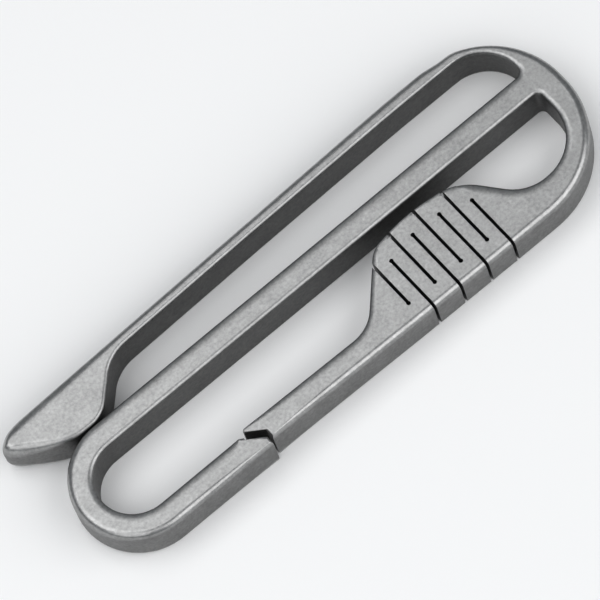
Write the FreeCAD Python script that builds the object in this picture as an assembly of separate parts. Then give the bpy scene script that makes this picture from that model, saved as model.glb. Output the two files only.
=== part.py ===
import FreeCAD
import Part
import math
import os

# Belt key clip, wire-cut from one springy titanium plate. It lies flat on z = 0, with +X towards
# the round crown, +Y towards the belt arm, and its origin under the middle of its box.
# Nothing on it comes apart. It is divided here only where its metal bends: at the root of the
# belt arm, and at the webs of the zigzag spring that carries the key gate.
# Lengths are in millimetres and angles in degrees.

# Plate, and its edges: a bevel whose own edges are broken by a smaller one, nearly a round
plate_thickness = 5.0
edge_bevel = 0.3
edge_breaking = 0.12
tool_overrun = 2.0
touching = 1e-6

# Widths and gaps across the clip, from the key side to the belt side
hook_width = 2.95
key_gap = 9.1
spine_width = 2.95
belt_gap = 6.13
arm_root_width = 1.64
arm_middle_width = 1.51
arm_tip_width = 1.43

# Length over all, and how far the toe runs past the nose
overall_length = 72.9
toe_overhang = 1.45

# Belt arm: it leans towards the spine, more so past its middle, and it bends about a point near
# its root
arm_lean = 1.45
arm_tip_lean = 1.85
arm_level_run = 16.45
arm_middle_run = 36.45
arm_bend_radius = 150.0
arm_bow_radius = 1000.0
arm_pivot_share = 0.15
arm_root_length = 5.0

# Crown: two quarter rounds, a thin neck that the belt arm springs from, and the belt slot's end
crown_low_radius = 11.3
crown_high_radius = 10.7
crown_flat_drop = 3.57
neck_start_run = 7.1
neck_start_drop = 0.42
neck_run = 9.15
neck_drop = 0.3
neck_radius = 3.0
crest_run = 11.15
crest_radius = 8.0
slot_end_wall = 3.05
slot_end_radius = 5.0
slot_end_corner = 0.9

# Toe: a bevelled tip, a bowed ramp that the belt's edge pushes on, and a lobe that nearly touches
# the spine
tip_bevel_run = 1.6
tip_bevel_drop = 1.05
tip_bevel_radius = 3.0
tip_face = 1.0
tip_radius = 0.6
tip_low_radius = 1.3
ramp_run = 6.65
ramp_bow = 0.3
ramp_bow_radius = 9.0
lobe_length = 4.05
lobe_ramp_radius = 5.0
lobe_flank_radius = 4.1
lobe_gap = 0.15
flank_run = 5.0
flank_radius = 5.5

# Crown window, between the crown and the fixed end of the zigzag spring
crown_width = 3.25
root_bar_width = 3.65
window_end_radius = 5.9
window_corner = 0.7

# Zigzag spring: saw cuts from alternate edges, each ending in a round relief hole
spring_to_crown = 23.3
slot_count = 8
slot_pitch = 1.83
kerf = 0.36
relief_hole_diameter = 0.5
inner_web = 2.0
end_web_share = 1.15
outer_web = 2.0

# Thumb pad that the spring is cut in: a flat dome between two sloping flanks
pad_stop_gap = 1.3
dome_radius = 22.0
gate_shoulder_inset = 1.2
gate_shoulder_drop = 0.75
gate_shoulder_radius = 3.0
gate_flank_run = 6.35
gate_flank_radius = 4.7
root_shoulder_outset = 0.25
root_shoulder_drop = 0.8
root_shoulder_radius = 6.0
root_flank_run = 4.85
root_flank_radius = 5.0

# Key gate: a finger that is set slightly inwards, with a beak that lies behind the hook's tip
gate_width = 2.95
hook_reach = 11.24
gate_heel_inset = 0.75
gate_lean = 1.05
spring_set = 0.14
set_bend_radius = 100.0
latch_lip = 0.65
latch_run = 2.0
latch_slant = 34.0
hook_corner_run = 0.5
hook_corner_drop = 0.3
beak_corner = 0.2

# Levels across the clip
clip_width = hook_width + key_gap + spine_width + belt_gap + arm_root_width
outer_y = -clip_width / 2
hook_inner_y = outer_y + hook_width
spine_low_y = hook_inner_y + key_gap
spine_high_y = spine_low_y + spine_width
arm_inner_y = spine_high_y + belt_gap
arm_outer_y = clip_width / 2
window_floor_y = outer_y + root_bar_width
dome_y = spine_low_y - pad_stop_gap
gate_inner_y = outer_y + gate_width
lobe_y = spine_high_y + lobe_gap

# Places along the clip
crown_x = overall_length / 2
tip_x = -crown_x
arm_level_x = crown_x - arm_level_run
arm_middle_x = crown_x - arm_middle_run
neck_x = crown_x - neck_run
nose_outer_radius = (spine_high_y - outer_y) / 2
nose_inner_radius = key_gap / 2
nose_x = tip_x + toe_overhang + nose_outer_radius
spring_x = crown_x - spring_to_crown
slot_xs = [spring_x + slot_pitch * ((slot_count - 1) / 2 - i) for i in range(slot_count)]
gate_heel_x = slot_xs[-1] - gate_heel_inset
hook_face_x = nose_x + hook_reach
beak_x = hook_face_x + kerf
relief_hole_radius = relief_hole_diameter / 2
ramp_end_x = tip_x + ramp_run
lobe_end_x = ramp_end_x + lobe_length
toe_root_x = lobe_end_x + flank_run
arm_pivot_x = neck_x - arm_pivot_share * (neck_x - lobe_end_x)


def arm_outer_at(x):
    """Height of the belt arm's outer edge, which is level at first and then leans."""
    near = max(arm_level_x - max(x, arm_middle_x), 0)
    far = max(arm_middle_x - x, 0)
    return (arm_outer_y - near * math.tan(math.radians(arm_lean))
            - far * math.tan(math.radians(arm_tip_lean)))


def set_in(x, y):
    """Where a point of a straight gate lies once the gate is set inwards about its heel."""
    lean = math.radians(gate_lean)
    along = x - gate_heel_x
    across = y - outer_y
    return (gate_heel_x + along * math.cos(lean) + across * math.sin(lean),
            outer_y + spring_set + across * math.cos(lean) - along * math.sin(lean))


def corner(point, radius=0):
    """A corner of an outline, rounded with a radius."""
    return {"start": point, "end": point, "radius": radius}


def arc(start, middle, end):
    """An arc of an outline, through three points."""
    return {"start": start, "middle": middle, "end": end, "radius": 0}


def flat(point):
    return FreeCAD.Vector(point[0], point[1], 0)


def outline_face(items):
    """Closed face through corners and arcs, joined by straight sides.

    A rounding that is too big for the sides next to it shrinks to fit them.
    """
    count = len(items)
    sides = [flat(items[(i + 1) % count]["start"]) - flat(items[i]["end"]) for i in range(count)]
    reach = [item["radius"] * math.tan(sides[i - 1].getAngle(sides[i]) / 2)
             for i, item in enumerate(items)]
    fit = [min(1, sides[i].Length / max(reach[i] + reach[(i + 1) % count], touching))
           for i in range(count)]
    curves = []
    for i, item in enumerate(items):
        at = flat(item["start"])
        if "middle" in item:
            curves.append([at, flat(item["middle"]), flat(item["end"])])
            continue
        shrink = min(fit[i - 1], fit[i])
        length = reach[i] * shrink
        start = at - FreeCAD.Vector(sides[i - 1]).normalize() * length
        end = at + FreeCAD.Vector(sides[i]).normalize() * length
        depth = math.hypot(length, item["radius"] * shrink) - item["radius"] * shrink
        if length > touching:
            inward = ((start + end) / 2 - at).normalize()
            curves.append([start, at + inward * depth, end])
        else:
            curves.append([at])
    edges = []
    for i, points in enumerate(curves):
        if len(points) > 1:
            edges.append(Part.Arc(*points).toShape())
        following = curves[(i + 1) % count][0]
        if not points[-1].isEqual(following, touching):
            edges.append(Part.makeLine(points[-1], following))
    return Part.Face(Part.Wire(edges))


def crown_outline():
    """Outer edge of the crown, from the zigzag spring's side to the crest of the belt arm."""
    return [corner((crown_x, outer_y), crown_low_radius),
            corner((crown_x, arm_outer_y - crown_flat_drop), crown_high_radius),
            corner((crown_x - neck_start_run, arm_outer_y - neck_start_drop), neck_radius),
            corner((neck_x, arm_outer_y - neck_drop), neck_radius),
            corner((crown_x - crest_run, arm_outer_y), crest_radius)]


def arm_outline():
    """Belt arm, out along its outer edge, round its toe, and back along the belt slot."""
    middle_y = arm_outer_at(arm_middle_x)
    bevel_x = tip_x + tip_bevel_run
    tip_y = arm_outer_at(tip_x) - tip_bevel_drop
    root_y = arm_outer_at(toe_root_x) - arm_tip_width
    slot_end_x = crown_x - slot_end_wall
    ramp_start = flat((tip_x, tip_y - tip_face))
    ramp = flat((ramp_end_x, lobe_y)) - ramp_start
    outward = FreeCAD.Vector(ramp.y, -ramp.x, 0).normalize()
    ramp_middle = ramp_start + ramp / 2 + outward * ramp_bow
    return [corner((arm_level_x, arm_outer_y), arm_bend_radius),
            corner((arm_middle_x, middle_y), arm_bow_radius),
            corner((bevel_x, arm_outer_at(bevel_x)), tip_bevel_radius),
            corner((tip_x, tip_y), tip_radius),
            corner((tip_x, tip_y - tip_face), tip_low_radius),
            corner((ramp_middle.x, ramp_middle.y), ramp_bow_radius),
            corner((ramp_end_x, lobe_y), lobe_ramp_radius),
            corner((lobe_end_x, lobe_y), lobe_flank_radius),
            corner((toe_root_x, root_y), flank_radius),
            corner((arm_middle_x, middle_y - arm_middle_width), arm_bow_radius),
            corner((arm_level_x, arm_inner_y), arm_bend_radius),
            corner((slot_end_x, arm_inner_y), slot_end_radius),
            corner((slot_end_x, spine_high_y), slot_end_corner)]


def pad_outline():
    """Inner edge of the thumb pad, from the crown window over the dome to the gate."""
    window_x = crown_x - crown_width
    root_shoulder_x = slot_xs[0] + root_shoulder_outset
    gate_shoulder_x = slot_xs[-1] + gate_shoulder_inset
    return [corner((window_x, spine_low_y), window_corner),
            corner((window_x, window_floor_y), window_end_radius),
            corner((root_shoulder_x + root_flank_run, window_floor_y), root_flank_radius),
            corner((root_shoulder_x, dome_y - root_shoulder_drop), root_shoulder_radius),
            corner((spring_x, dome_y), dome_radius),
            corner((gate_shoulder_x, dome_y - gate_shoulder_drop), gate_shoulder_radius),
            corner(set_in(gate_shoulder_x - gate_flank_run, gate_inner_y), gate_flank_radius)]


def plate_face(hook_end_x, gate_end_x):
    """Outline of the whole plate, with its hook and its gate cut off square at given places."""
    nose_middle_y = (spine_high_y + outer_y) / 2
    loop_middle_y = (spine_low_y + hook_inner_y) / 2
    items = [corner((gate_heel_x, outer_y + spring_set), set_bend_radius),
             corner((slot_xs[0], outer_y), set_bend_radius)]
    items += crown_outline() + arm_outline()
    items += [arc((nose_x, spine_high_y), (nose_x - nose_outer_radius, nose_middle_y),
                  (nose_x, outer_y)),
              corner((hook_end_x, outer_y)),
              corner((hook_end_x, hook_inner_y)),
              arc((nose_x, hook_inner_y), (nose_x - nose_inner_radius, loop_middle_y),
                  (nose_x, spine_low_y))]
    items += pad_outline()
    items += [corner(set_in(gate_end_x, gate_inner_y)),
              corner(set_in(gate_end_x, outer_y))]
    return outline_face(items)


def bevelled_plate(face, square_end_xs):
    """The face as a plate, with its top and bottom edges bevelled, apart from the square ends."""
    plate = face.extrude(FreeCAD.Vector(0, 0, plate_thickness))
    for bevel in (edge_bevel, edge_breaking):
        edges = []
        for edge in plate.Edges:
            box = edge.BoundBox
            level = box.ZLength < touching
            at_end = any(abs(box.Center.x - x) < edge_bevel and box.YLength > 2 * edge_bevel
                         for x in square_end_xs)
            if level and not at_end:
                edges.append(edge)
        plate = plate.makeChamfer(bevel, edges)
    return plate


def prism(points):
    """A cutting tool with this outline, past both faces of the plate."""
    face = outline_face([corner(point) for point in points])
    face.translate(FreeCAD.Vector(0, 0, -tool_overrun))
    return face.extrude(FreeCAD.Vector(0, 0, plate_thickness + 2 * tool_overrun))


def block(x0, x1, y0, y1):
    return prism([(x0, y0), (x1, y0), (x1, y1), (x0, y1)])


def latch_points(shift):
    """Corners of the latch cut on the hook's side, or moved one kerf over, on the gate's side."""
    slant = math.radians(latch_slant)
    lip_x = hook_face_x + shift
    lip_y = hook_inner_y - latch_lip + shift * math.tan((math.radians(90) - slant) / 2)
    return (lip_x, lip_y), (lip_x + latch_run, lip_y - latch_run * math.tan(slant))


def hook_tool():
    """Everything past the hook's tip."""
    lip, jaw = latch_points(0)
    far_x = jaw[0] + 2 * tool_overrun
    low_y = outer_y - tool_overrun
    high_y = hook_inner_y + tool_overrun
    return prism([(lip[0] - hook_corner_run, high_y), (lip[0] - hook_corner_run, hook_inner_y),
                  (lip[0], hook_inner_y - hook_corner_drop), lip, jaw, (jaw[0], low_y),
                  (far_x, low_y), (far_x, high_y)])


def gate_tool():
    """Everything past the gate's beak."""
    lip, jaw = latch_points(kerf)
    far_x = beak_x - 2 * tool_overrun
    low_y = outer_y - tool_overrun
    high_y = gate_inner_y + tool_overrun
    points = [(beak_x + beak_corner, high_y), (beak_x + beak_corner, gate_inner_y),
              (beak_x, gate_inner_y - beak_corner), lip, jaw, (jaw[0], low_y),
              (far_x, low_y), (far_x, high_y)]
    return prism([set_in(x, y) for x, y in points])


def pad_span(face, x):
    """Heights of the pad's outer and inner edge at a place along the clip."""
    line = Part.makeLine(FreeCAD.Vector(x, outer_y - tool_overrun, 0),
                         FreeCAD.Vector(x, spine_low_y, 0))
    box = min(face.common(line).Edges, key=lambda edge: edge.BoundBox.YMin).BoundBox
    return box.YMin, box.YMax


def spring_hinges(face):
    """Centre of each relief hole. Even cuts start at the outer edge, and odd ones at the dome."""
    centres = []
    for i, x in enumerate(slot_xs):
        low_y, high_y = pad_span(face, x)
        share = end_web_share if i in (0, slot_count - 2) else 1
        if i % 2 == 0:
            centres.append((x, high_y - inner_web * share - relief_hole_radius))
        else:
            centres.append((x, low_y + outer_web + relief_hole_radius))
    return centres


def slot_and_web_tools(i, centre):
    """Saw cut with its relief hole, and the strip of metal that closes the cut's blind end."""
    x, y = centre
    low_y = outer_y - tool_overrun
    high_y = spine_low_y - pad_stop_gap / 2
    below = block(x - kerf / 2, x + kerf / 2, low_y, y)
    above = block(x - kerf / 2, x + kerf / 2, y, high_y)
    cut, strip = (below, above) if i % 2 == 0 else (above, below)
    hole = Part.makeCylinder(relief_hole_radius, plate_thickness + 2 * tool_overrun,
                             FreeCAD.Vector(x, y, -tool_overrun))
    return cut.fuse(hole), strip


def piece_at(shape, x, y):
    """The one solid of a cut plate that holds a point at half thickness."""
    point = FreeCAD.Vector(x, y, plate_thickness / 2)
    return next(solid for solid in shape.Solids if solid.isInside(point, touching, True))


def build():
    """All pieces of the clip, by name."""
    lip, jaw = latch_points(0)
    hook_end_x = jaw[0] + edge_bevel
    hook_stub_x = nose_x + tool_overrun
    gate_end_x = beak_x - edge_bevel
    stub_x = gate_heel_x - gate_flank_run
    frame_face = plate_face(hook_end_x, stub_x)
    gate_face = plate_face(hook_stub_x, gate_end_x)
    frame_plate = bevelled_plate(frame_face, [hook_end_x, stub_x])
    gate_plate = bevelled_plate(gate_face, [hook_stub_x, gate_end_x])
    hinges = spring_hinges(frame_face)
    tools = [slot_and_web_tools(i, centre) for i, centre in enumerate(hinges)]
    cuts = [cut for cut, strip in tools]
    strips = [strip for cut, strip in tools]
    root = block(arm_pivot_x - arm_root_length / 2, arm_pivot_x + arm_root_length / 2,
                 arm_inner_y - belt_gap / 2, arm_outer_y + tool_overrun)

    slotted = frame_plate.cut(cuts + [hook_tool()])
    rest = slotted.cut(strips + [root])
    spine_y = (spine_low_y + spine_high_y) / 2
    spring_y = (hinges[0][1] + hinges[1][1]) / 2
    pieces = {"frame": piece_at(rest, 0, spine_y),
              "belt_arm": piece_at(rest, 0, arm_outer_at(0) - arm_tip_width / 2),
              "belt_arm_root": slotted.common(root)}
    for i in range(slot_count - 1):
        leaf_x = (slot_xs[i] + slot_xs[i + 1]) / 2
        pieces[f"spring_leaf_{i + 1}"] = piece_at(rest, leaf_x, spring_y)
    for i, strip in enumerate(strips):
        pieces[f"spring_web_{i + 1}"] = slotted.common(strip)
    gate = gate_plate.cut(cuts + strips + [gate_tool()])
    middle = set_in((beak_x + gate_heel_x) / 2, (outer_y + gate_inner_y) / 2)
    pieces["gate"] = piece_at(gate, *middle)
    return pieces, hinges


def main():
    pieces, hinges = build()
    os.makedirs("parts", exist_ok=True)
    for name, shape in pieces.items():
        solid = shape.Solids[0]
        print(f"{name}: {len(shape.Solids)} solid, {solid.Volume:.2f} mm3, valid {solid.isValid()}")
        solid.exportStep(f"parts/{name}.step")
    for i, (x, y) in enumerate(hinges):
        print(f"spring hinge {i + 1} at {x:.3f}, {y:.3f}")
    print(f"belt arm bends about {arm_pivot_x:.3f}, {arm_outer_at(arm_pivot_x) - arm_root_width / 2:.3f}")


main()
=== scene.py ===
# %% [markdown]
# # A belt key clip
# The real clip is one flat bar of titanium, about 5 mm thick. A cutting wire has sawn it into a long belt
# arm, a hook for key rings and a gate on a zigzag spring, and the whole clip was then blasted with fine
# beads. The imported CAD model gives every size. The lesson dresses that model with softly rounded edges and a
# blasted finish.

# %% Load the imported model
import math
from collections import namedtuple

import bmesh
import bpy
from mathutils import Matrix, Vector
from mathutils.bvhtree import BVHTree


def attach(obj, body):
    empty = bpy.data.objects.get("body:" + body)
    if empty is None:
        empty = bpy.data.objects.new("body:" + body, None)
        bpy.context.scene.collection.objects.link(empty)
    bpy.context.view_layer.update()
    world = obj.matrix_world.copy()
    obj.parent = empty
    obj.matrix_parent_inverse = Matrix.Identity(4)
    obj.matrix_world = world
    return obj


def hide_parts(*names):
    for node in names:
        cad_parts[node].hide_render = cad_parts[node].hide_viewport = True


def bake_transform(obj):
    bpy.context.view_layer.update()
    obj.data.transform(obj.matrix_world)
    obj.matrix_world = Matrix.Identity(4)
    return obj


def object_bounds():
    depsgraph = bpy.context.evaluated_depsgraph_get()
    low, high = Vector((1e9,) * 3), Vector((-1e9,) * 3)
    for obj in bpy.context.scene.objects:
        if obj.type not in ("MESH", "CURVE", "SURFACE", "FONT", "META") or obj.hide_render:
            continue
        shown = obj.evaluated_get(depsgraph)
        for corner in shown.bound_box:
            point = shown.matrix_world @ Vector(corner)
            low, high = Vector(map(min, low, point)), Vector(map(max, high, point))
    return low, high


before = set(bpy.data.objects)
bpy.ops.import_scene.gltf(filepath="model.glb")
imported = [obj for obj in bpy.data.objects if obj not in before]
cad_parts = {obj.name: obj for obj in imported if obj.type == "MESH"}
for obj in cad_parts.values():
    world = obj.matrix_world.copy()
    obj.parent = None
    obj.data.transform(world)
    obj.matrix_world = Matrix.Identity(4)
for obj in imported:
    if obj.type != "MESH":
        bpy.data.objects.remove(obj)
cad_box = [list(corner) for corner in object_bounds()]
MM = 0.001


def in_mm(box):
    """Corners of a box in millimetres, rounded for printing."""
    return [[round(value / MM, 2) for value in corner] for corner in box]


print("CAD box in mm:", in_mm(cad_box))

# %% [markdown]
# ## Tracing the saw cuts
# Every wall of the clip stands upright, because a straight wire cut it. A slice through the middle of the
# plate therefore holds the whole shape. One could draw that outline again by hand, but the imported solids
# already have it, so each solid is sliced at half its thickness. The solids themselves stay as they are: the
# slice is taken from a copy.

# %% Helpers that walk round an outline
def direction_of(start, end):
    """Unit vector from one point of an outline to the next."""
    return (Vector(end) - Vector(start)).normalized()


def chained(following):
    """Closed loops of points from a table of which point follows which."""
    left, loops = dict(following), []
    while left:
        loop = [next(iter(left))]
        while loop[-1] in left:
            loop.append(left.pop(loop[-1]))
        loops.append(loop[:-1])
    return loops


def stretches_of(loop):
    """Pairs of each point of a closed loop and the point after it."""
    return list(zip(loop, loop[1:] + loop[:1]))


def neighbours(loop):
    """Each item of a closed loop, between the item before it and the item after it."""
    return zip(loop[-1:] + loop[:-1], loop, loop[1:] + loop[:1])


# %% Slice every solid
half_thickness = (cad_box[1][2] - cad_box[0][2]) / 2
middle_height = (cad_box[1][2] + cad_box[0][2]) / 2
weld_distance = 0.0002 * MM
point_digits = 8
straight_turn = math.radians(0.2)


def sliced(node):
    """Outline of a CAD node at half thickness, as pairs of points with the metal on their left."""
    copy = bmesh.new()
    copy.from_mesh(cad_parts[node].data)
    bmesh.ops.remove_doubles(copy, verts=copy.verts, dist=weld_distance)
    everything = copy.verts[:] + copy.edges[:] + copy.faces[:]
    cut = bmesh.ops.bisect_plane(copy, geom=everything, dist=weld_distance,
                                 plane_co=(0, 0, middle_height), plane_no=(0, 0, 1))
    following = {}
    for edge in cut["geom_cut"]:
        if isinstance(edge, bmesh.types.BMEdge):
            start, end = (tuple(round(value, point_digits) for value in vert.co.xy) for vert in edge.verts)
            along = direction_of(start, end)
            outward = edge.link_faces[0].normal
            if along.x * outward.y - along.y * outward.x > 0:
                start, end = end, start
            following[start] = end
    copy.free()
    pairs = []
    for loop in chained(following):
        kept = [point for before, point, after in neighbours(loop)
                if direction_of(before, point).angle(direction_of(point, after)) > straight_turn]
        pairs += stretches_of(kept)
    return pairs


outlines = {node: sliced(node) for node in sorted(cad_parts)}
owner_of = {pair: node for node, pairs in outlines.items() for pair in pairs}
print("outline points:", {node: len(pairs) for node, pairs in outlines.items()})

# %% [markdown]
# ## How round is each edge?
# Tumbling and blasting have rounded the edges. The outside of the clip, which rubs on cloth, is rounded most,
# and wide and flat towards the belt arm's side. The toe's tip and the hook's nose are worn rounder still. The
# edges inside the slots are crisper, more so where another wall faces them closely, and the saw cuts stayed
# nearly sharp. One could pick out each edge by hand, but rays shot from each wall tell the cases apart: into
# the open, to find the wall that faces it, and into the metal, to find how much width there is to round.

# %% Find what each stretch of outline faces
narrow_gap = 0.62 * MM
wall_height = 1.0
ray_start = 0.004 * MM
ray_reach = 100 * MM
ray_turns = [math.radians(turn) for turn in (0, 50, -50)]
toe_start = -30 * MM
spring_nodes = {node for node in outlines if node.startswith("spring_")}


def wall_tree(pairs):
    """Search tree of the upright walls above and below some outline pairs."""
    points, faces = [], []
    for start, end in pairs:
        first = len(points)
        corners = (start, -wall_height), (end, -wall_height), (end, wall_height), (start, wall_height)
        points += [(*point, height) for point, height in corners]
        faces.append((first, first + 1, first + 2, first + 3))
    return BVHTree.FromPolygons(points, faces)


open_pairs = [pair for pair in owner_of if pair[::-1] not in owner_of]
open_walls = wall_tree(open_pairs)


def wall_met(pair, walls, inwards=False, turn=0.0, reach=ray_reach):
    """Number of the wall that a ray from the middle of a stretch meets, or None, and its distance."""
    along = direction_of(*pair)
    aim = Vector((-along.y, along.x, 0)) if inwards else Vector((along.y, -along.x, 0))
    start = ((Vector(pair[0]) + Vector(pair[1])) / 2).to_3d() + aim * ray_start
    number, distance = walls.ray_cast(start, Matrix.Rotation(turn, 3, "Z") @ aim, reach)[2:]
    return number, reach if number is None else distance


def edge_kind(pair, node):
    """Which kind of edge a stretch has: joined, saw_cut, latch, outside or inside."""
    if pair[::-1] in owner_of:
        return "joined"

    def sides(turn, reach):
        met = wall_met(pair, open_walls, turn=turn, reach=reach)[0]
        return set() if met is None else {node, owner_of[open_pairs[met]]}

    for turn in ray_turns:
        if spring_nodes & sides(turn, narrow_gap):
            return "saw_cut"
        if sides(turn, narrow_gap) == {"frame", "gate"}:
            return "latch"
    across = sides(0.0, ray_reach)
    if not across or (pair[0][0] < toe_start and across == {"frame", "belt_arm"}):
        return "outside"
    return "inside"


kinds = {pair: edge_kind(pair, node) for pair, node in owner_of.items()}
for kind in sorted(set(kinds.values())):
    print(f"{kind} edges: {list(kinds.values()).count(kind)} stretches")

# %% Give each stretch the width and the depth of its rounding
# Each row holds a width and a depth in mm, and then the width and depth on the side that is worn flat.
round_sizes = {"joined": (0, 0, 0, 0),
               "saw_cut": (0.02, 0.02, 0.02, 0.02),
               "latch": (0.28, 0.28, 0.28, 0.28),
               "outside": (0.8, 0.8, 1.5, 0.5),
               "inside": (0.55, 0.5, 1.3, 0.4)}
worn_side, worn_power = Vector((0.3, 0.95)), 2
wide_gap, least_share, opposite_power = 5 * MM, 0.28, 4
tip_start, tip_length = -32.0 * MM, 4.0 * MM
tip_width, tip_depth = 1.2 * MM, 1.9 * MM
toe_low, nose_share = 4 * MM, 0.5


def held(value, least=0.0, most=1.0):
    """Value kept between a least and a most."""
    return min(most, max(least, value))


def mixed(first, second, share):
    """Value that lies a share of the way from the first to the second."""
    return first + (second - first) * share


def near_tip(point):
    """How far a point lies in the worn left end: up to 1 in the toe's tip, and less in the hook's nose."""
    most = 1.0 if point[1] > toe_low else nose_share
    return most * held((tip_start - point[0]) / tip_length)


def rounding(pair):
    """Width and depth of one stretch's rounding: wide towards the belt arm, small beside a near wall."""
    width, depth, worn_width, worn_depth = (size * MM for size in round_sizes[kinds[pair]])
    share = (near_tip(pair[0]) + near_tip(pair[1])) / 2
    width, depth = mixed(width, tip_width, share), mixed(depth, tip_depth, share)
    along = direction_of(*pair)
    facing = held(worn_side.dot((along.y, -along.x))) ** worn_power
    width, depth = mixed(width, worn_width, facing), mixed(depth, worn_depth, facing)
    if kinds[pair] == "inside":
        met, gap = wall_met(pair, open_walls)
        opposite = max(0.0, -along.dot(direction_of(*open_pairs[met]))) ** opposite_power
        reached = 1 - opposite * (1 - held(gap / wide_gap, least_share))
        width, depth = width * reached, depth * reached
    return width, depth


rounds = {pair: rounding(pair) for pair in owner_of}
print("widest rounding:", round(max(width for width, depth in rounds.values()) / MM, 2), "mm")

# %% [markdown]
# ## Insets: where the rounding takes each point
# Each point of an outline gets an inset, which says how far the edge's rounding takes it inwards. Where two
# walls meet at a corner, the inset moves away from both of them. At the toe's tip all insets aim at one
# centre, so the tip closes like the end of a finger. Long stretches get more points, which the belt arm would
# need to bend, though this script leaves it straight. A Bevel modifier could find such insets too, but it
# takes as much from the wall as from the face, and a worn edge is wider than it is deep.

# %% The inset of a point, and the steps along a stretch
Step = namedtuple("Step", "point along width depth kind most", defaults=[ray_reach])
guards = {"joined": 0.012 * MM, "saw_cut": 0.03 * MM}
flat_guard = 0.05 * MM
smooth_turn = math.radians(20)
tip_centre, tip_rim = Vector((-34.8, 8.15)) * MM, 0.4 * MM
pull_length = 1.6 * MM
longest_step = 0.8 * MM
mouth_step, mouth_margin = 0.5 * MM, 0.12 * MM


def pull_to_tip(point):
    """How strongly a point's inset aims at the toe's tip: from 0 to 1, with a soft start and end."""
    share = held((tip_centre.x + pull_length - point.x) / pull_length) if point.y > toe_low else 0.0
    return share * share * (3 - 2 * share)


def inset_between(before, after, guarded=False):
    """Move that takes the point between two steps away from both walls, by the width of their rounding."""
    widths = [step.width + guarded * guards.get(step.kind, flat_guard) for step in (before, after)]
    inward_a, inward_b = (Vector((-step.along.y, step.along.x)) for step in (before, after))
    if inward_a.angle(inward_b) < smooth_turn:
        inset = (inward_a + inward_b) * sum(widths) / 2 / (1 + inward_a.dot(inward_b))
        to_centre = tip_centre - after.point
        to_rim = to_centre * (1 - (tip_rim - guarded * flat_guard) / to_centre.length)
        return inset.lerp(to_rim, pull_to_tip(after.point)).to_3d()
    x = widths[0] * inward_b.y - widths[1] * inward_a.y
    y = widths[1] * inward_a.x - widths[0] * inward_b.x
    return Vector((x, y, 0)) / inward_a.cross(inward_b)


def stepped(before, pair, after):
    """Steps along one stretch, from its start up to, but without, its end."""
    walls = [Step(Vector(each[0]), direction_of(*each), *rounds[each], kinds[each])
             for each in (before, pair, after)]
    wall, end = walls[1], Vector(pair[1])
    along = wall.along.to_3d()
    clear_of_start = max(mouth_step, inset_between(walls[0], wall, True).dot(along) + mouth_margin)
    clear_of_end = max(mouth_step, mouth_margin - inset_between(wall, walls[2], True).dot(along))
    length = (end - wall.point).length
    room = length - clear_of_start - clear_of_end
    if wall.kind == "joined" or room < mouth_margin:
        return [wall]
    count = math.ceil(room / longest_step)
    places = [clear_of_start + room * i / count for i in range(count + 1)]
    return [wall] + [wall._replace(point=wall.point.lerp(end, place / length)) for place in places]


print("longest step along a wall:", round(longest_step / MM, 2), "mm")

# %% [markdown]
# ## Fitting the rounding to the metal
# On the real clip the rounding runs on evenly along a wall, and it never takes more than the metal has. One
# could pull each point into place by hand, but five rules treat all pieces alike. Points that crowd a join
# are dropped, the worn left end gets small even steps, rays through the metal limit the widths, the widths
# are eased along smooth walls, and tight bends get less, so that the flat face's rim doesn't fold over
# itself.

# %% Thin the steps at joins and wear the left end
hole_margin = 0.12 * MM
tip_step, tip_passes = 0.2 * MM, 20


def headed(steps):
    """Steps of a loop, each heading for the point of the next."""
    return [step._replace(along=direction_of(step.point, after.point))
            for before, step, after in neighbours(steps)]


def thinned(steps):
    """Steps of a loop without the points of relief holes that crowd the line where two pieces join."""
    joins = [point for before, step, after in neighbours(steps) if step.kind == "joined"
             for point in (step.point, after.point)]
    return headed([step for step in steps if step.point in joins or step.kind != "saw_cut"
                   or all((step.point - point).length > hole_margin for point in joins)])


def worn(steps):
    """Steps of a loop with its toe's tip or hook's nose, if any, in even small steps and worn rounder."""
    at_tip = [i for i, step in enumerate(steps) if step.point.x < tip_start]
    if not at_tip:
        return steps
    first = next(i for i in at_tip if steps[i - 1].point.x >= tip_start)
    steps = steps[first:] + steps[:first]
    tip, rest = steps[:len(at_tip)], steps[len(at_tip):]
    fine = []
    for step, after in zip(tip, tip[1:] + rest[:1]):
        count = max(1, round((after.point - step.point).length / tip_step))
        fine += [step._replace(point=step.point.lerp(after.point, i / count)) for i in range(count)]
    for _ in range(tip_passes):
        places = [step.point for step in fine] + [rest[0].point]
        fine[1:] = [step._replace(point=(before + 2 * place + after) / 4)
                    for step, before, place, after in zip(fine[1:], places, places[1:], places[2:])]
    return headed(fine + rest)


print("steps along the worn left end:", round(tip_step / MM, 2), "mm")

# %% Limit the widths, ease them and open tight bends
most_of_metal = {"outside": 0.36, "inside": 0.28, "latch": 0.26}
more_towards_arm = 0.24
most_at_tip = 1.0
metal_turns = [math.radians(turn) for turn in (0, 25, -25)]
smoothing_passes = 120
unfolding_passes = 60
least_rim_share = 0.05
fold_spread, shrink = 2, 0.93
rounded_pairs = [pair for pair in open_pairs if kinds[pair] in most_of_metal]
rounded_walls = wall_tree(rounded_pairs)


def capped(steps):
    """Steps of a loop with no more rounding than the width of the metal allows."""
    fitted = []
    for before, step, after in neighbours(steps):
        if step.kind in most_of_metal:
            pair = (step.point, after.point)
            metal = min(wall_met(pair, rounded_walls, inwards=True, turn=turn)[1] for turn in metal_turns)
            share = most_of_metal[step.kind] + more_towards_arm * max(0.0, -step.along.x)
            most = metal * mixed(share, most_at_tip, near_tip(step.point))
            step = step._replace(width=min(step.width, most), most=most)
        fitted.append(step)
    return fitted


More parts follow.
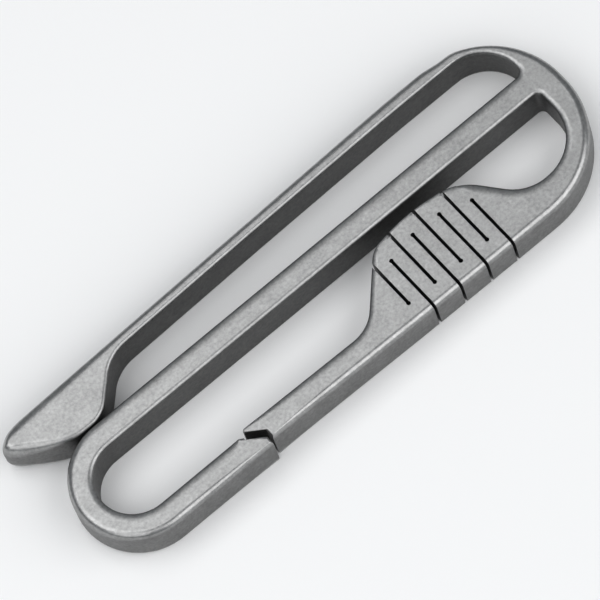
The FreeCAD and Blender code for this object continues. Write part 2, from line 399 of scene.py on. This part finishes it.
def smoothed(steps):
    """Steps of a loop with their rounding eased where the wall runs on smoothly."""
    for _ in range(smoothing_passes):
        eased = []
        for before, step, after in neighbours(steps):
            alike = [step, step] + [other for other in (before, after)
                                    if step.kind in most_of_metal and other.kind in most_of_metal
                                    and other.along.angle(step.along) < smooth_turn]
            width = sum(other.width for other in alike) / len(alike)
            depth = sum(other.depth for other in alike) / len(alike)
            eased.append(step._replace(width=min(width, step.most), depth=depth))
        steps = eased
    return steps


def unfolded(steps):
    """Steps of a loop with less rounding where a tight bend would fold the flat face's rim over itself."""
    count = len(steps)
    for _ in range(unfolding_passes):
        rim = [step.point.to_3d() + inset_between(before, step, True)
               for before, step, after in neighbours(steps)]
        folds = [i for i, (before, step, after) in enumerate(neighbours(steps))
                 if (rim[(i + 1) % count] - rim[i]).dot(step.along.to_3d())
                 < least_rim_share * (after.point - step.point).length]
        if not folds:
            break
        near = {(i + j) % count for i in folds for j in range(-fold_spread, fold_spread + 1)}
        steps = [step._replace(width=step.width * shrink) if i in near else step
                 for i, step in enumerate(steps)]
    return steps


print("stretches to fit to the metal:", len(rounded_pairs))

# %% [markdown]
# ## One outline for each piece
# A piece that moves as one body is one piece of metal, so the lines where its solids meet are left out. The
# joined outline becomes a mesh of edges alone. Its insets, depths and wall greys go with it as attributes,
# which a node tree and a material can read by name. Vertex groups could carry them too, but they hold only
# numbers from 0 to 1, and an inset is a direction with a length. The wall greys are mostly painted shade,
# darkest inside the slots and in the saw cuts, with a little of the saw's darker skin in them.

# %% Outline of a piece, with its insets
# Painted shade: darker greys for the walls, darkest in slots and saw cuts, partly the saw's darker skin.
wall_greys_with_painted_shade = {"outside": 0.5, "inside": 0.28}
cut_grey_with_painted_shade = 0.24


def outline_mesh(name, nodes):
    """Edge mesh of the joined outline of some CAD nodes, with its insets as attributes."""
    own = {pair for node in nodes for pair in outlines[node]}
    following = {pair[0]: pair[1] for pair in own if pair[::-1] not in own}
    points, edges, insets, flat_insets, depths, wall_greys_and_shades = [], [], [], [], [], []
    for loop in chained(following):
        steps = [step for around in neighbours(stretches_of(loop)) for step in stepped(*around)]
        steps = unfolded(smoothed(capped(worn(thinned(steps)))))
        first, count = len(points), len(steps)
        for before, step, after in neighbours(steps):
            points.append(step.point.to_3d())
            insets.append(inset_between(before, step))
            flat_insets.append(inset_between(before, step, True))
            depths.append(max(step.depth, before.depth))
            # Each point keeps the paler of the two painted wall shades beside it.
            wall_greys_and_shades.append(max(wall_greys_with_painted_shade.get(each.kind, cut_grey_with_painted_shade) for each in (before, step)))
        edges += [(first + i, first + (i + 1) % count) for i in range(count)]
    mesh = bpy.data.meshes.new(name)
    mesh.from_pydata(points, edges, [])
    for label, values in (("outline", points), ("inset", insets), ("flat_inset", flat_insets)):
        parts = [part for value in values for part in value]
        mesh.attributes.new(label, "FLOAT_VECTOR", "POINT").data.foreach_set("vector", parts)
    for label, values in (("round_depth", depths), ("wall_grey_and_shade", wall_greys_and_shades)):
        mesh.attributes.new(label, "FLOAT", "POINT").data.foreach_set("value", values)
    print(f"{name}: {len(points)} outline points")
    return mesh


# %% [markdown]
# ## A node tree that turns an outline into a plate
# The clip is a rule applied to an outline: go straight up the wall, then round over the edge to the flat
# face. A Bevel modifier could do that too, but it slips at the saw cuts, where a wide round meets a nearly
# sharp one. Geometry Nodes extrude the outline ring by ring instead, each ring placed by the insets, fill the
# flat face, and mirror the half plate downwards. Two extra rings beside the round keep the wall and the face
# shaded flat.

# %% Helpers that add a node and wire it up
def add_node(tree, kind, inputs=(), **settings):
    """New node with its settings, and its inputs linked or set, by name or by place."""
    node = tree.nodes.new(kind)
    for name, value in settings.items():
        setattr(node, name, value)
    for place, value in dict(inputs).items():
        if isinstance(value, bpy.types.NodeSocket):
            tree.links.new(value, node.inputs[place])
        else:
            node.inputs[place].default_value = value
    return node


def result_of(tree, kind, inputs=(), **settings):
    """First output of a new node."""
    return add_node(tree, kind, inputs, **settings).outputs[0]


def together(tree, *shapes):
    """Several shapes of a Geometry Nodes tree as one."""
    join = tree.nodes.new("GeometryNodeJoinGeometry")
    for shape in shapes:
        tree.links.new(shape, join.inputs[0])
    return join.outputs[0]


# %% Rings from the middle of the wall to the flat face
round_steps = 8


def with_share(tree, shape, share, **chosen):
    """Shape that notes how far its points lie from the wall, at 0, to the flat face, at 1."""
    return result_of(tree, "GeometryNodeStoreNamedAttribute",
                     {"Geometry": shape, "Name": "edge_share", "Value": share, **chosen},
                     data_type="FLOAT", domain="POINT")


def stacked_rings(tree, outline_shape, half, guard):
    """Outline pulled up ring by ring over the rounded edge, and the choice of its last ring."""
    outline, inset, flat_inset = (
        result_of(tree, "GeometryNodeInputNamedAttribute", {"Name": name}, data_type="FLOAT_VECTOR")
        for name in ("outline", "inset", "flat_inset"))
    depth = result_of(tree, "GeometryNodeInputNamedAttribute", {"Name": "round_depth"}, data_type="FLOAT")
    guarded = result_of(tree, "ShaderNodeMath", {0: half, 1: guard}, operation="SUBTRACT")
    turns = [math.pi / 2 * i / round_steps for i in range(round_steps + 1)]
    rings = [(inset, 0.0, 1.0, guarded, 0.0)]
    rings += [(inset, 1 - math.cos(turn), 1 - math.sin(turn), half, turn / turns[-1]) for turn in turns]
    rings += [(flat_inset, 1.0, 0.0, half, 1.0)]
    shape, top = outline_shape, True
    for inwards, across, down, height, share in rings:
        pulled = add_node(tree, "GeometryNodeExtrudeMesh",
                          {"Mesh": shape, "Selection": top, "Offset Scale": 0.0}, mode="EDGES")
        shape, top = pulled.outputs["Mesh"], pulled.outputs["Top"]
        sideways = result_of(tree, "ShaderNodeVectorMath", {0: inwards, "Scale": across}, operation="SCALE")
        level = result_of(tree, "ShaderNodeMath", {0: depth, 1: -down, 2: height}, operation="MULTIPLY_ADD")
        lift = result_of(tree, "ShaderNodeCombineXYZ", {"Z": level})
        moved = result_of(tree, "ShaderNodeVectorMath", {0: outline, 1: sideways})
        place = result_of(tree, "ShaderNodeVectorMath", {0: moved, 1: lift})
        ring = result_of(tree, "GeometryNodeSetPosition",
                         {"Geometry": shape, "Selection": top, "Position": place})
        shape = with_share(tree, ring, share, Selection=top)
    print(f"plate tree: {len(rings)} rings above the middle")
    return shape, top


# %% The plate tree
def plate_tree():
    """Geometry Nodes tree from an outline with insets to a plate with rounded edges."""
    tree = bpy.data.node_groups.new("rounded_plate", "GeometryNodeTree")
    for label, kind in (("Outline", "Geometry"), ("Half Thickness", "Float"), ("Middle Height", "Float"),
                        ("Flat Guard", "Float"), ("Finish", "Material")):
        tree.interface.new_socket(label, in_out="INPUT", socket_type="NodeSocket" + kind)
    tree.interface.new_socket("Plate", in_out="OUTPUT", socket_type="NodeSocketGeometry")
    given = tree.nodes.new("NodeGroupInput").outputs
    shape, top = stacked_rings(tree, given["Outline"], given["Half Thickness"], given["Flat Guard"])
    rim = result_of(tree, "GeometryNodeMeshToCurve", {"Mesh": shape, "Selection": top})
    face = result_of(tree, "GeometryNodeFillCurve", {"Curve": rim})
    rise = result_of(tree, "ShaderNodeCombineXYZ", {"Z": given["Half Thickness"]})
    raised = result_of(tree, "GeometryNodeSetPosition", {"Geometry": face, "Offset": rise})
    upper = together(tree, shape, with_share(tree, raised, 1.0))
    mirrored = result_of(tree, "GeometryNodeTransform", {"Geometry": upper, "Scale": (1, 1, -1)})
    lower = result_of(tree, "GeometryNodeFlipFaces", {"Mesh": mirrored})
    whole = result_of(tree, "GeometryNodeMergeByDistance",
                      {"Geometry": together(tree, upper, lower), "Distance": weld_distance})
    up = result_of(tree, "ShaderNodeCombineXYZ", {"Z": given["Middle Height"]})
    seated = result_of(tree, "GeometryNodeTransform", {"Geometry": whole, "Translation": up})
    real = result_of(tree, "GeometryNodeRealizeInstances", {"Geometry": seated})
    coated = result_of(tree, "GeometryNodeSetMaterial", {"Geometry": real, "Material": given["Finish"]})
    add_node(tree, "NodeGroupOutput", {0: coated})
    print(f"plate tree: {len(tree.nodes)} nodes")
    return tree


plate_nodes = plate_tree()

# %% [markdown]
# ## The finish: titanium blasted with fine beads
# Blasting leaves a matt grey skin of tiny dents. It isn't even: the grey drifts a little from place to place.
# A plain rough metal would look like painted plastic, so three layers of noise in real sizes make the dents,
# the drift and a few painted glints, which are lighter spots in the grey that stand for highlights. Tumbling
# has polished the outer edges a little, and those inside the slots stayed as matt as the faces. The walls are
# rougher, and their grey is darkened by painted shade, darkest inside the slots and in the saw cuts, fading
# out part way up the rounded edge; a little of that darkness is the saw's darker skin.

# %% Make the finish
titanium_grey = (0.385, 0.385, 0.382)
dents_per_metre, dent_detail, dent_roughness = 2600.0, 3.0, 0.6
drift_per_metre, drift_detail, drift_roughness = 420.0, 4.0, 0.62
# Painted highlights: a few small spots lighten the grey by up to 12%, to stand for glints.
painted_glints_per_metre = 620.0
# Each range holds the noise at its two ends, and then the shade of grey that belongs to them.
dent_range = (0.3, 0.7, 0.8, 1.16)
drift_range = (0.32, 0.68, 0.9, 1.08)
painted_glint_range = (0.05, 0.12, 1.12, 1.0)
dent_strength, dent_depth = 0.25, 0.05 * MM
wall_roughness, face_roughness = 0.5, 0.4
inner_edge_roughness, outer_edge_roughness = 0.4, 0.31
# Shares of the way from the wall, at 0, to the face, at 1, where a change ends or starts.
wall_darkening_end, wall_rough_end, face_rough_start = 0.55, 0.15, 0.8


def ranged(tree, value, low, high, at_low, at_high):
    """Value taken from one range to another, and held at its ends."""
    return result_of(tree, "ShaderNodeMapRange", {"Value": value, "From Min": low, "From Max": high,
                                                  "To Min": at_low, "To Max": at_high})


def noise(tree, place, scale, detail, roughness):
    """Cloudy noise of some size, in real places on the metal."""
    return result_of(tree, "ShaderNodeTexNoise",
                     {"Vector": place, "Scale": scale, "Detail": detail, "Roughness": roughness})


def blasted_titanium():
    """Matt grey metal with dents, drifting grey, painted glints, and rougher walls darkened mostly by painted
    shade.
    """
    material = bpy.data.materials.new("blasted_titanium")
    material.use_nodes = True
    tree = material.node_tree
    place = add_node(tree, "ShaderNodeTexCoord").outputs["Object"]
    share, wall_grey_and_shade = (add_node(tree, "ShaderNodeAttribute", attribute_name=name).outputs["Fac"]
                         for name in ("edge_share", "wall_grey_and_shade"))
    dents = noise(tree, place, dents_per_metre, dent_detail, dent_roughness)
    drift = noise(tree, place, drift_per_metre, drift_detail, drift_roughness)
    # Painted highlights: the spots of the painted glints.
    spots = add_node(tree, "ShaderNodeTexVoronoi", {"Vector": place, "Scale": painted_glints_per_metre})
    shade = ranged(tree, dents, *dent_range)
    # Painted shade: the wall greys darken the walls and fade out 0.55 of the way up the rounded edge.
    for factor in (ranged(tree, drift, *drift_range),
                   ranged(tree, share, 0.0, wall_darkening_end, wall_grey_and_shade, 1.0),
                   ranged(tree, spots.outputs["Distance"], *painted_glint_range)):
        shade = result_of(tree, "ShaderNodeMath", {0: shade, 1: factor}, operation="MULTIPLY")
    colour = result_of(tree, "ShaderNodeVectorMath", {0: titanium_grey, "Scale": shade}, operation="SCALE")
    edge_rough = ranged(tree, wall_grey_and_shade, wall_greys_with_painted_shade["inside"], wall_greys_with_painted_shade["outside"],
                        inner_edge_roughness, outer_edge_roughness)
    face_rough = ranged(tree, share, face_rough_start, 1.0, edge_rough, face_roughness)
    wall_rough = ranged(tree, share, 0.0, wall_rough_end, wall_roughness, edge_rough)
    rough = result_of(tree, "ShaderNodeMath", {0: face_rough, 1: wall_rough}, operation="MAXIMUM")
    hammered = result_of(tree, "ShaderNodeBump",
                         {"Height": dents, "Strength": dent_strength, "Distance": dent_depth})
    shader = tree.nodes["Principled BSDF"]
    shader.inputs["Metallic"].default_value = 1.0
    for label, value in (("Base Color", colour), ("Roughness", rough), ("Normal", hammered)):
        tree.links.new(value, shader.inputs[label])
    print(f"finish: {len(tree.nodes)} shader nodes")
    return material


titanium_finish = blasted_titanium()

# %% [markdown]
# ## The pieces
# The frame holds the crown, the spine and the hook. The gate, the belt arm and the seven leaves of the spring
# each move on their own, so each is a piece. They are one bar of metal in truth: at every line where two
# pieces meet, both have the same outline and the same rounding, so no seam shows. One could make the whole
# bar and cut it up, but making each piece by itself closes its ends too.

# %% Run the tree on each outline
sharp_corner = math.radians(38)
tree_values = {"Half Thickness": half_thickness, "Middle Height": middle_height, "Flat Guard": flat_guard,
               "Finish": titanium_finish}


def placed(name, data):
    """New object in the scene."""
    thing = bpy.data.objects.new(name, data)
    bpy.context.scene.collection.objects.link(thing)
    return thing


def plate_piece(name, *nodes):
    """Rounded plate that stands for some CAD nodes."""
    piece = placed(name, outline_mesh(name + "_outline", nodes))
    maker = piece.modifiers.new("rounded plate", "NODES")
    maker.node_group = plate_nodes
    for socket in plate_nodes.interface.items_tree:
        if socket.name in tree_values:
            maker[socket.identifier] = tree_values[socket.name]
    made = bpy.data.meshes.new_from_object(piece.evaluated_get(bpy.context.evaluated_depsgraph_get()))
    piece.modifiers.clear()
    check = bmesh.new()
    check.from_mesh(made)
    bmesh.ops.recalc_face_normals(check, faces=check.faces)
    open_edges = sum(not edge.is_manifold for edge in check.edges)
    volume = check.calc_volume()
    check.to_mesh(made)
    check.free()
    made.name = name
    made.shade_smooth()
    made.set_sharp_from_angle(angle=sharp_corner)
    piece.data = made
    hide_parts(*nodes)
    print(f"{name}: {len(made.polygons)} faces, {open_edges} open edges, {volume / MM ** 3:.1f} mm3")
    return piece


clip_frame = plate_piece("clip_frame", "frame", "spring_web_1")
belt_arm = plate_piece("belt_arm_with_toe", "belt_arm", "belt_arm_root")
gate = plate_piece("latching_gate", "gate")
leaf_count = sum(node.startswith("spring_leaf_") for node in spring_nodes)
leaves = [plate_piece(f"zigzag_leaf_{i}", f"spring_leaf_{i}", f"spring_web_{i + 1}")
          for i in range(1, leaf_count + 1)]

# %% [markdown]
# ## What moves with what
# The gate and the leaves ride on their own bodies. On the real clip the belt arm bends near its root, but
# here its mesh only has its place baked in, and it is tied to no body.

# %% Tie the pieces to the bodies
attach(clip_frame, "frame")
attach(gate, "gate")
for i, leaf in enumerate(leaves, start=1):
    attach(leaf, f"spring_leaf_{i}")
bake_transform(belt_arm)

# %% [markdown]
# ## Floor and light
# The clip lies on a plain pale floor. Metal shows its surroundings, so the light matters as much as the
# finish. A lit sky all round would make the clip look flat, so three soft panels stand apart, with dark
# between them. The one overhead gives the faces their even grey, the one in front draws the bright band along
# the outer edge, and the one at the left lights the toe's tip and the hook's nose.

# %% Floor
floor_size = 6.0
floor_drop = 0.02 * MM
floor_grey = (0.9, 0.9, 0.9, 1)
floor_roughness = 0.9
half_floor = floor_size / 2
floor_corners = [(x * half_floor, y * half_floor, -floor_drop)
                 for x, y in ((-1, -1), (1, -1), (1, 1), (-1, 1))]
floor_finish = bpy.data.materials.new("pale_floor")
floor_finish.use_nodes = True
floor_shader = floor_finish.node_tree.nodes["Principled BSDF"]
floor_shader.inputs["Base Color"].default_value = floor_grey
floor_shader.inputs["Roughness"].default_value = floor_roughness
floor_mesh = bpy.data.meshes.new("floor")
floor_mesh.from_pydata(floor_corners, [], [(0, 1, 2, 3)])
floor_mesh.materials.append(floor_finish)
floor = placed("floor", floor_mesh)
print("floor:", floor_size, "m square")

# %% Lamps and world
clip_centre = (0, 0, 0)
sky_colour, sky_strength = (0.9, 0.95, 1, 1), 0.25


def soft_panel(name, place, aim, width, height, brightness):
    """Flat lamp that faces a point and looks as bright as asked, where 1 is white."""
    lamp = bpy.data.lights.new(name, "AREA")
    lamp.shape = "RECTANGLE"
    lamp.size, lamp.size_y = width, height
    lamp.energy = math.pi * width * height * brightness
    panel = placed(name, lamp)
    panel.location = place
    panel.rotation_euler = (Vector(aim) - Vector(place)).to_track_quat("-Z", "Y").to_euler()


soft_panel("overhead_panel", place=(-0.4, 0.31, 0.75), aim=(-0.4, 0.31, 0),
           width=1.15, height=0.52, brightness=2.1)
soft_panel("front_panel", place=(0.34, -0.54, 0.48), aim=clip_centre,
           width=1.0, height=0.75, brightness=1.9)
soft_panel("left_panel", place=(-0.45, -0.25, 0.51), aim=clip_centre,
           width=0.5, height=0.75, brightness=1.25)
world = bpy.data.worlds.new("studio")
world.use_nodes = True
sky = world.node_tree.nodes["Background"].inputs
sky["Color"].default_value = sky_colour
sky["Strength"].default_value = sky_strength
bpy.context.scene.world = world
bpy.context.scene.view_settings.view_transform = "Standard"

# %% [markdown]
# ## Camera
# The photograph looks down on the clip with its belt arm at the top left and its toe at the lower left. The
# camera could be turned by hand until it fits. Here its own axes are written out as three directions, which
# set its turn exactly, and a long lens keeps the walls nearly parallel, as in the photograph.

# %% Set up the camera
camera_right = Vector((0.7632, -0.6249, -0.1649))
camera_up = Vector((0.6296, 0.6613, 0.4081))
camera_target = Vector((-1.6, -0.565, 5.0)) * MM
camera_distance = 700 * MM
pixels_per_metre = 9.293 / MM
picture_pixels = 600
sensor_width = 36.0
camera_back = camera_right.cross(camera_up).normalized()
camera_up = camera_back.cross(camera_right).normalized()
camera_right = camera_up.cross(camera_back)
camera_turn = Matrix((camera_right, camera_up, camera_back)).transposed().to_4x4()
camera_data = bpy.data.cameras.new("camera")
camera_data.sensor_width = sensor_width
camera_data.lens = sensor_width * pixels_per_metre * camera_distance / picture_pixels
camera = placed("camera", camera_data)
camera.matrix_world = Matrix.Translation(camera_target + camera_back * camera_distance) @ camera_turn
bpy.context.scene.camera = camera
print("lens:", round(camera_data.lens, 1), "mm")
